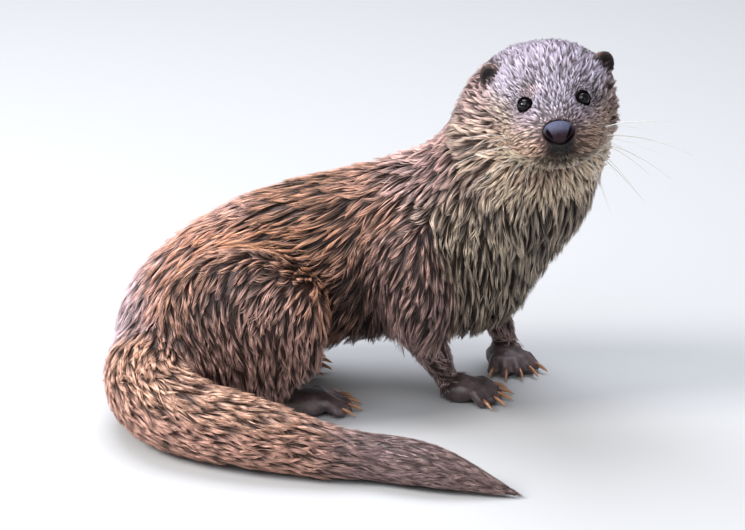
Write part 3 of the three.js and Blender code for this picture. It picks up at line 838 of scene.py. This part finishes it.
def growCoat(name, mine, cuts):
    tris = np.nonzero(mine & clear)[0]
    wanted = triAreas[tris] * triShare[tris]
    shape = lockShape(strandSet["sides"], cuts)
    levels = shape["levels"]
    trisEach = strandSet["sides"] * (2 * len(cuts) + 2) - 2
    roots = rootsOn(tris, wanted, strandSet["most"] // trisEach)
    depth, gloom, glow = [roots[measure][:, 0] for measure in ("depth", "gloom", "glow")]
    count = len(depth)
    heads = np.nonzero(dice.random(count) < 1 / roots["members"][:, 0])[0]
    owner = ownersOf(roots, heads)
    clumpTurn = dice.normal(0, clumpSet["turn"], count)[owner]
    clumpBend = dice.normal(0, clumpSet["bend"], count)[owner]
    clumpLong = dice.uniform(*clumpSet["long"], count)[owner]
    clumpVary = dice.random(count)[owner]
    normal = unit(roots["normal"])
    way = turned(flatOn(roots["lie"], normal), normal, clumpTurn + dice.normal(0, clumpSet["loose"], count))
    # strands at a lock's edge lie lower than those along its middle, and are painted darker as shade
    side = np.cross(normal, way)
    offSide = np.abs(dot(roots["spot"] - roots["spot"][owner], side)) / mm / roots["clump"][:, 0]
    edge = np.clip(offSide, 0, 1) ** 2
    length = roots["length"][:, 0] * clumpLong * dice.uniform(*strandSet["long"], count) * mm
    # some strands are under hair, low between the locks and dark, partly as painted shade
    under = dice.random(count) < strandSet["under"]
    under[heads] = False
    rise = depth * roots["stand"][:, 0] * (1 - clumpSet["round"] * edge)
    rise = rise * dice.uniform(*strandSet["rise"], count) * mm
    rise[under] *= strandSet["underRise"]
    paths, tops = layStrands(roots, levels, way, side, length, rise, clumpBend)
    pull = clumpSet["pull"] * levels[None, :, None] ** clumpSet["pullRise"]
    pull = pull * np.where(under, clumpSet["underPull"], 1.0)[:, None, None]
    paths = blend(paths, paths[owner], pull)
    paths[:, :, 2] -= roots["droop"] * levels[None] ** 2 * mm
    # strands of one lock share a tip but not quite
    paths[:, 1:] += dice.normal(0, strandSet["stray"], (count, 1, 3)) * mm * roots["width"][:, :1, None]
    paths[:, :, 2] = np.maximum(paths[:, :, 2], strandSet["floor"] * mm)
    profile = np.interp(levels, *zip(*strandSet["profile"]))
    widths = roots["width"] * dice.uniform(*strandSet["wide"], (count, 1)) / 2 * mm * profile[None]
    mesh, loops = sweptMesh(name, shape, paths, widths, tops, strandSet["flatness"])
    vary = clumpVary * strandSet["lockTone"] + dice.random(count) * strandSet["strandTone"]
    # painted shade on the edges of the locks
    vary *= 1 - clumpSet["edge"] * edge * gloom
    # the under hair is darkened, partly as painted shade between the locks
    vary *= np.where(under, 1 - strandSet["underDark"] * gloom, 1.0)
    contrast = np.minimum(strandSet["leastTone"] + strandSet["toneRise"] * gloom, 1)
    # each area's brightness is added: partly the coat's own tone, partly painted light and shade
    vary = 0.5 + (vary - 0.5) * contrast + glow
    dressCoat(name, mesh, loops, shape, roots, vary, dice.random(count) * strandSet["hairSpread"])
    print(f"{name}: {count} strands of {wanted.sum():.0f} wanted, {count * trisEach} triangles")


triShare = measureOf("share")[triCorners].mean(1) * 1e6  # to a square metre
triSpots = cornerSpots.mean(1)
triForward = inHead(triSpots)[0]
faceFrom = 38  # mm forward of the skull's middle
triOwner = ownerNames[triCorners[:, 0]]
# no hair grows on the balls of the eyes, the nose's leather or the soles
clearSet = {"eye": 6.1, "eyeAhead": 2, "nose": 10.3, "noseShape": (1.15, 1, 0.88), "sole": 6}  # mm
eyeAhead = headForward * clearSet["eyeAhead"] * mm
eyeAway = np.min([sizeOf(triSpots - spot - eyeAhead) for spot in eyeSpots.values()], 0)
noseAway = sizeOf((triSpots - noseSpot) / np.array(clearSet["noseShape"]))
bareSole = (normals[triCorners].mean(1)[:, 2] < -0.6) & (triSpots[:, 2] < clearSet["sole"] * mm)
clear = (eyeAway > clearSet["eye"] * mm) & (noseAway > clearSet["nose"] * mm) & ~bareSole


def onNodes(*starts):
    return np.any([np.char.startswith(triOwner, start) for start in starts], axis=0)


onHead = onNodes("head", "jaw", "ear_")
faceCuts, bodyCuts = (0.45,), (0.30, 0.65)
bodyPieces = {
    "coatNeck": ("neck",),
    "coatShoulder": ("chest", "upper_arm"),
    "coatFlank": ("belly",),
    "coatRump": ("rump",),
    "coatHaunch": ("thigh", "shank"),
    "coatTailRoot": ("tail_base",),
    "coatTail": ("tail_middle", "tail_tip"),
    "coatFeet": ("forearm", "forepaw", "hindpaw"),
}
growCoat("coatFace", onHead & (triForward > faceFrom), faceCuts)
growCoat("coatCrown", onHead & (triForward <= faceFrom), faceCuts)
for pieceName, starts in bodyPieces.items():
    growCoat(pieceName, onNodes(*starts), bodyCuts)

# eyes and their lids
eyeSet = {
    "look": (0.86, 0.47, 0.16),  # ahead, outwards and up
    "cornea": 1.04, "corneaStart": 0.75, "around": 40, "rings": 28,
    "pupil": (0.35, 0.60), "black": (0.001, 0.001, 0.001, 1), "iris": (0.003, 0.002, 0.0015, 1),
}
lidSet = {
    "profile": [(6.7, 2.0), (6.5, 2.8), (6.2, 3.4), (5.7, 3.75), (5.4, 3.7), (5.15, 3.4), (5.3, 2.7)],
    "steps": 36, "thick": 0.5,  # out from the line of sight and along it, in mm
    "wide": 0.95, "corner": 0.05, "tall": 1.03, "half": 6,  # the almond's shape
    "dark": (0.0015, 0.001, 0.001, 1), "pale": (0.006, 0.004, 0.005, 1),
}


def eyeMaterial():
    made, tree, shader = newMaterial("wetEye", Roughness=0.12, Specular_IOR_Level=0.30)
    place = node(tree, "ShaderNodeAttribute", attribute_name="fromPupil").outputs["Fac"]
    edge = {"Value": place, "From Min": eyeSet["pupil"][0], "From Max": eyeSet["pupil"][1]}
    iris = node(tree, "ShaderNodeMapRange", edge, interpolation_type="SMOOTHSTEP").outputs["Result"]
    feed(tree, shader, Base_Color=mixColours(tree, iris, eyeSet["black"], eyeSet["iris"]))
    return made


def lidMaterial():
    made, tree, shader = newMaterial("lidSkin", Roughness=0.6, Specular_IOR_Level=0.0)
    grain = noiseOf(tree, objectPlace(tree), 700.0)
    feed(tree, shader, Base_Color=mixColours(tree, grain, lidSet["dark"], lidSet["pale"]),
         Normal=bumpOf(tree, grain, 0.4, 0.4 * mm))
    return made


def turnTo(way, up):
    # a turn that takes +Z to the way and +Y near up
    z = Vector(way).normalized()
    x = Vector(up).cross(z).normalized()
    return Matrix((x, z.cross(x), z)).transposed()


def makeEye(side, turn):
    low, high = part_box(f"eye_{side}")
    radius = (high[2] - low[2]) / 2
    ball = bmesh.new()
    bmesh.ops.create_uvsphere(ball, u_segments=eyeSet["around"], v_segments=eyeSet["rings"], radius=radius)
    for v in ball.verts:
        bulge = max(v.co.z / radius - eyeSet["corneaStart"], 0) / (1 - eyeSet["corneaStart"])
        v.co *= 1 + (eyeSet["cornea"] - 1) * bulge * bulge
    pupil = [math.acos(max(min(v.co.z / v.co.length, 1), -1)) / (math.pi / 2) for v in ball.verts]
    bmesh.ops.transform(ball, matrix=turn, verts=ball.verts)
    eye = objectFrom(f"eyeball_{side}", ball)
    keep(eye.data, "fromPupil", np.array(pupil))
    eye.data.materials.append(wetEye)
    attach(eye, "root")
    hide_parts(f"eye_{side}")


def makeLids(side, hand, turn):
    # a profile spun round the line of sight, then drawn into an almond
    lid = bmesh.new()
    line = [lid.verts.new((x * mm, 0, z * mm)) for x, z in lidSet["profile"]]
    edges = [lid.edges.new(pair) for pair in zip(line, line[1:])]
    bmesh.ops.spin(lid, geom=line + edges, cent=(0, 0, 0), axis=(0, 0, 1), angle=math.tau,
                   steps=lidSet["steps"], use_merge=True)
    bmesh.ops.remove_doubles(lid, verts=lid.verts, dist=0.01 * mm)
    for v in lid.verts:
        inner = max(-v.co.x * hand, 0) / (lidSet["half"] * mm)
        v.co.x *= lidSet["wide"] + lidSet["corner"] * inner * inner
        v.co.y *= lidSet["tall"]
    bmesh.ops.recalc_face_normals(lid, faces=lid.faces)
    bmesh.ops.transform(lid, matrix=turn, verts=lid.verts)
    lids = objectFrom(f"lids_{side}", lid)
    lids.modifiers.new("thick", "SOLIDIFY").thickness = lidSet["thick"] * mm
    lids.data.materials.append(lidSkin)
    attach(lids, "root")


wetEye = eyeMaterial()
lidSkin = lidMaterial()
for side, hand in (("left", 1), ("right", -1)):
    ahead, out, up = eyeSet["look"]
    eyeTurn = turnTo(unit(headForward * ahead + headLeft * out * hand + headUp * up), headUp).to_4x4()
    eyeTurn.translation = Vector(eyeSpots[side])
    makeEye(side, eyeTurn)
    makeLids(side, hand, eyeTurn)

# the nose's leather
noseSet = {
    "long": 8.0, "wide": 12.3, "tall": 8.8,  # mm, half of each
    "around": 96, "rings": 64, "square": 0.85,
    "chinNarrow": 0.42, "topNarrow": 0.10, "flat": 0.10,
    "groove": 0.07, "grooveWide": 0.09,
    "nostrilAside": 8.5, "nostrilBelow": 0.6, "nostrilWide": 2.2, "nostrilTall": 3.9, "nostrilLean": 0.7,
    "deep": 0.6, "pinch": 0.25, "wing": 0.10, "wingOut": 1.45, "wingWide": 0.4,
    # the leather's colours: dark purple-brown, a painted bluish sheen on the upper part and near black
    # painted shade inside the nostrils
    "under": (0.016, 0.006, 0.010, 1), "side": (0.033, 0.015, 0.023, 1),
    "upper": (0.060, 0.064, 0.104, 1), "inside": (0.004, 0.003, 0.003, 1),
}


def noseMaterial():
    made, tree, shader = newMaterial("noseLeather", Specular_IOR_Level=0.14)
    place = objectPlace(tree)
    _, (upper, inside, _) = readVector(tree, "noseMarks")
    grain = {"Scale": 1100.0, "Vector": place}
    pebbles = node(tree, "ShaderNodeTexVoronoi", grain, feature="F1").outputs["Distance"]
    patches = noiseOf(tree, place, 160.0, 3.0)
    colour = mixColours(tree, patches, noseSet["under"], noseSet["side"])
    # the upper part takes a painted bluish sheen, and the nostrils a painted shade
    colour = mixColours(tree, upper, colour, noseSet["upper"])
    colour = mixColours(tree, inside, colour, noseSet["inside"])
    rough = sums(tree, "MULTIPLY", inside, 0.5)
    feed(tree, shader, Base_Color=colour, Roughness=sums(tree, "ADD", rough, 0.38),
         Normal=bumpOf(tree, pebbles, 0.8, 0.6 * mm))
    return made


def noseCorner(x, y, z):
    # takes a corner of a plain ball (forward, left, up) to the pad, and gives its marks for the material:
    # the painted bluish sheen on the pad's upper part and the painted shade inside the nostrils
    put = noseSet
    narrow = 1 - put["chinNarrow"] * float(ease(0.25, -0.95, z))
    narrow -= put["topNarrow"] * float(ease(0.6, 1.0, z))
    flat = 1 - put["flat"] * max(x, 0) * float(ease(0.2, 0.9, z))
    groove = put["groove"] * math.exp(-(y / put["grooveWide"]) ** 2) * max(x, 0) * float(ease(0.4, -0.2, z))
    lean = put["nostrilLean"] * (put["nostrilAside"] - abs(y) * put["wide"])
    hollow = 0
    for hand in (-1, 1):
        dy = (y * put["wide"] - hand * put["nostrilAside"]) / put["nostrilWide"]
        dz = (z * put["tall"] + put["nostrilBelow"] + lean) / put["nostrilTall"]
        hollow += math.exp(-((dy * dy + dz * dz) ** 1.5)) * float(ease(-0.5, 0.1, x))
        # the wing of the nostril stands round its upper outer side
        wing = math.exp(-((math.hypot(dy, dz) - put["wingOut"]) / put["wingWide"]) ** 2)
        groove -= put["wing"] * wing * max(x, 0) * (dz > -0.4)
    groove += put["deep"] * hollow
    squareY = math.copysign(abs(y) ** put["square"], y) * narrow * (1 - put["pinch"] * hollow)
    spot = (x * (flat - groove) * put["long"] * mm, squareY * put["wide"] * mm, z * put["tall"] * mm)
    # marks: the painted bluish sheen on the upper part, and the painted shade in the nostrils
    return spot, (float(ease(-0.1, 0.7, z)), min(hollow * 1.8, 1), 0)


pad = bmesh.new()
bmesh.ops.create_uvsphere(pad, u_segments=noseSet["around"], v_segments=noseSet["rings"], radius=1)
bmesh.ops.rotate(pad, verts=pad.verts, matrix=Matrix.Rotation(math.pi / 2, 3, "Y"))
noseMarks = []
for v in pad.verts:
    v.co, mark = noseCorner(*v.co)
    noseMarks.append(mark)
noseTurn = Matrix((Vector(headForward), Vector(headLeft), Vector(headUp))).transposed().to_4x4()
noseTurn.translation = Vector(noseSpot)
bmesh.ops.transform(pad, matrix=noseTurn, verts=pad.verts)
nosePiece = objectFrom("nosePad", pad)
keep(nosePiece.data, "noseMarks", np.array(noseMarks), "FLOAT_VECTOR")
nosePiece.data.materials.append(noseMaterial())
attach(nosePiece, "root")
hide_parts("nose")
print("eyes and nose made")

# claws
clawSet = {
    "sides": 8, "rings": 7, "half": 1.5, "tall": 1.35,
    "rootShare": 1.5, "buried": 3, "arch": 2.4,  # mm
    "profile": [(0, 1), (0.5, 0.85), (0.85, 0.42), (1, 0)],
    "base": (0.16, 0.055, 0.022, 1), "tip": (0.52, 0.27, 0.13, 1),
}


def clawMaterial():
    made, tree, shader = newMaterial("clawHorn", Roughness=0.3, Specular_IOR_Level=0.55,
                                     Coat_Weight=0.3, Coat_Roughness=0.2)
    place, (_, along, _) = readVector(tree, "lockPlace")
    streaks = noiseOf(tree, place, 6.0, 2.0)
    feed(tree, shader, Base_Color=mixColours(tree, along, clawSet["base"], clawSet["tip"]),
         Normal=bumpOf(tree, streaks, 0.3, 0.3 * mm))
    return made


def evenCuts(rings):
    return tuple(np.linspace(0, 1, rings + 1)[1:-1])


def clawPath(name, t):
    # an arch from inside the toe to the claw's tip
    corners = spotsOf(nodes[name].data)
    paw = middleOf(name.rsplit("_", 1)[0].replace("claw_", ""))
    reach = sizeOf((corners - paw)[:, :2])
    root = corners[reach < reach.min() + clawSet["rootShare"] * mm].mean(0)
    tip = corners[reach.argmax()]
    root = root - unit((tip - root) * np.array([1, 1, 0])) * clawSet["buried"] * mm
    top = (root + tip) / 2 + upright * clawSet["arch"] * mm
    return root * (1 - t) ** 2 + top * 2 * t * (1 - t) + tip * t * t


clawNames = [name for name in nodes if name.startswith("claw_")]
clawCount = len(clawNames)
clawShape = lockShape(clawSet["sides"], evenCuts(clawSet["rings"]))
clawLevels, clawRing = clawShape["levels"], clawShape["ring"]
clawPaths = np.array([clawPath(name, clawLevels[:, None]) for name in clawNames])
clawHalf = clawSet["half"] * mm * np.interp(clawLevels, *zip(*clawSet["profile"]))
clawHalf = np.tile(clawHalf, (clawCount, 1))
clawMesh = sweptMesh("claws", clawShape, clawPaths, clawHalf, upright, clawSet["tall"])[0]
clawAlong = np.tile(clawLevels[clawRing], clawCount)
clawAcross = np.tile(clawShape["around"][:, 0] * 3, clawCount)
keep(clawMesh, "lockPlace", np.stack([clawAcross, clawAlong, clawAlong * 0 + 0.5], 1), "FLOAT_VECTOR")
clawMesh.materials.append(clawMaterial())
claws = newObject("claws", clawMesh)
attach(claws, "root")
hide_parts(*clawNames)

# whiskers: each node stands for three, one in its place and two thinner ones beside it
whiskerSet = {
    "sides": 4, "rings": 8, "extra": 3,
    "half": 0.36, "farSide": 0.45, "thinner": (0.9, 0.2), "taper": 0.6,
    "behind": 20, "buried": 5, "rowSpread": 2.5, "columnSpread": 1.6, "tipSpread": 5,  # mm
    "shorter": 0.22, "shorterBy": (0.7, 1.3), "bow": (0.03, 0.09),
    "dark": (0.45, 0.41, 0.34, 1), "pale": (0.85, 0.82, 0.75, 1),
}


def whiskerMaterial():
    made, tree, shader = newMaterial("paleHair", Roughness=0.35, Specular_IOR_Level=0.6)
    tone = noiseOf(tree, objectPlace(tree), 90.0)
    feed(tree, shader, Base_Color=mixColours(tree, tone, whiskerSet["dark"], whiskerSet["pale"]))
    return made


whiskerNames = [name for name in nodes if name.startswith("whisker_")]
whiskerShape = lockShape(whiskerSet["sides"], evenCuts(whiskerSet["rings"]))
whiskerPaths, whiskerHalf = [], []
for name in whiskerNames:
    corners = spotsOf(nodes[name].data)
    fromHead = sizeOf(corners - (noseSpot - headForward * whiskerSet["behind"] * mm))
    root, tip = corners[fromHead.argmin()], corners[fromHead.argmax()]
    root = root - unit(tip - root) * whiskerSet["buried"] * mm
    half = whiskerSet["half"] * mm * (1.0 if "left" in name else whiskerSet["farSide"])
    thick, thinner = whiskerSet["thinner"]
    for extra in range(whiskerSet["extra"]):
        short = 1 - whiskerSet["shorter"] * extra * dice.uniform(*whiskerSet["shorterBy"])
        along, across = dice.normal(0, whiskerSet["rowSpread"]), dice.normal(0, whiskerSet["columnSpread"])
        start = root + (headForward * along + headUp * across) * mm * (extra > 0)
        end = start + (tip - root) * short + dice.normal(0, whiskerSet["tipSpread"], 3) * mm * (extra > 0)
        bow = headUp * sizeOf(end - start) * dice.uniform(*whiskerSet["bow"])
        t = whiskerShape["levels"][:, None]
        whiskerPaths.append(start * (1 - t) + end * t + bow * 4 * t * (1 - t))
        taper = (1 - whiskerShape["levels"]) ** whiskerSet["taper"]
        whiskerHalf.append(half * (thick - thinner * extra) * taper)
whiskerPaths, whiskerHalf = np.array(whiskerPaths), np.array(whiskerHalf)
whiskerMesh = sweptMesh("whiskers", whiskerShape, whiskerPaths, whiskerHalf, upright, 1.0)[0]
whiskerMesh.materials.append(whiskerMaterial())
whiskers = newObject("whiskers", whiskerMesh)
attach(whiskers, "root")
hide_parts(*whiskerNames)
print("claws and whiskers made")

# floor, light and camera
stageSet = {
    "target": (-0.01625, 0.0541, 0.114), "elevation": 20.0, "distance": 3.2, "lens": 193.3, "sensor": 36,
    "floor": (0.40, 0.40, 0.395, 1), "floorHalf": 6,
    "sky": (0.92, 0.95, 1.0, 1), "skyStrength": 0.33,
    "lights": {  # place, breadth in metres, power in watts, colour
        "keyLight": ((-2.2, -0.5, 1.6), 0.9, 100, (1.0, 0.98, 0.97)),
        "skyLight": ((-0.3, 0.7, 2.2), 1.6, 75, (0.86, 0.90, 1.0)),
        "fillLight": ((1.4, -1.8, 0.9), 1.4, 7, (1.0, 0.96, 0.90)),
        "faceLight": ((-0.8, -1.6, 2.0), 2.0, 55, (0.90, 0.92, 1.0)),
    },
}
target = Vector(stageSet["target"])
floorBm = bmesh.new()
bmesh.ops.create_grid(floorBm, x_segments=1, y_segments=1, size=stageSet["floorHalf"])
floor = objectFrom("floor", floorBm, smooth=False)
floorPaint = newMaterial("floorPaint", Roughness=0.7, Base_Color=stageSet["floor"])[0]
floor.data.materials.append(floorPaint)

for name, (spot, size, power, colour) in stageSet["lights"].items():
    light = bpy.data.lights.new(name, "AREA")
    light.energy, light.size, light.color = power, size, colour
    lamp = newObject(name, light)
    lamp.location = spot
    lamp.rotation_euler = (target - Vector(spot)).to_track_quat("-Z", "Y").to_euler()

world = bpy.data.worlds.new("studio")
world.use_nodes = True
background = world.node_tree.nodes["Background"]
background.inputs["Color"].default_value = stageSet["sky"]
background.inputs["Strength"].default_value = stageSet["skyStrength"]
bpy.context.scene.world = world

camera = newObject("camera", bpy.data.cameras.new("camera"))
camera.data.lens = stageSet["lens"]
camera.data.sensor_width = stageSet["sensor"]
camera.data.clip_end = 20
tilt = math.radians(stageSet["elevation"])
camera.location = target + Vector((0, -math.cos(tilt), math.sin(tilt))) * stageSet["distance"]
camera.rotation_euler = (math.pi / 2 - tilt, 0, 0)
bpy.context.scene.camera = camera
bpy.context.scene.view_settings.view_transform = "Standard"

print("scene ready")
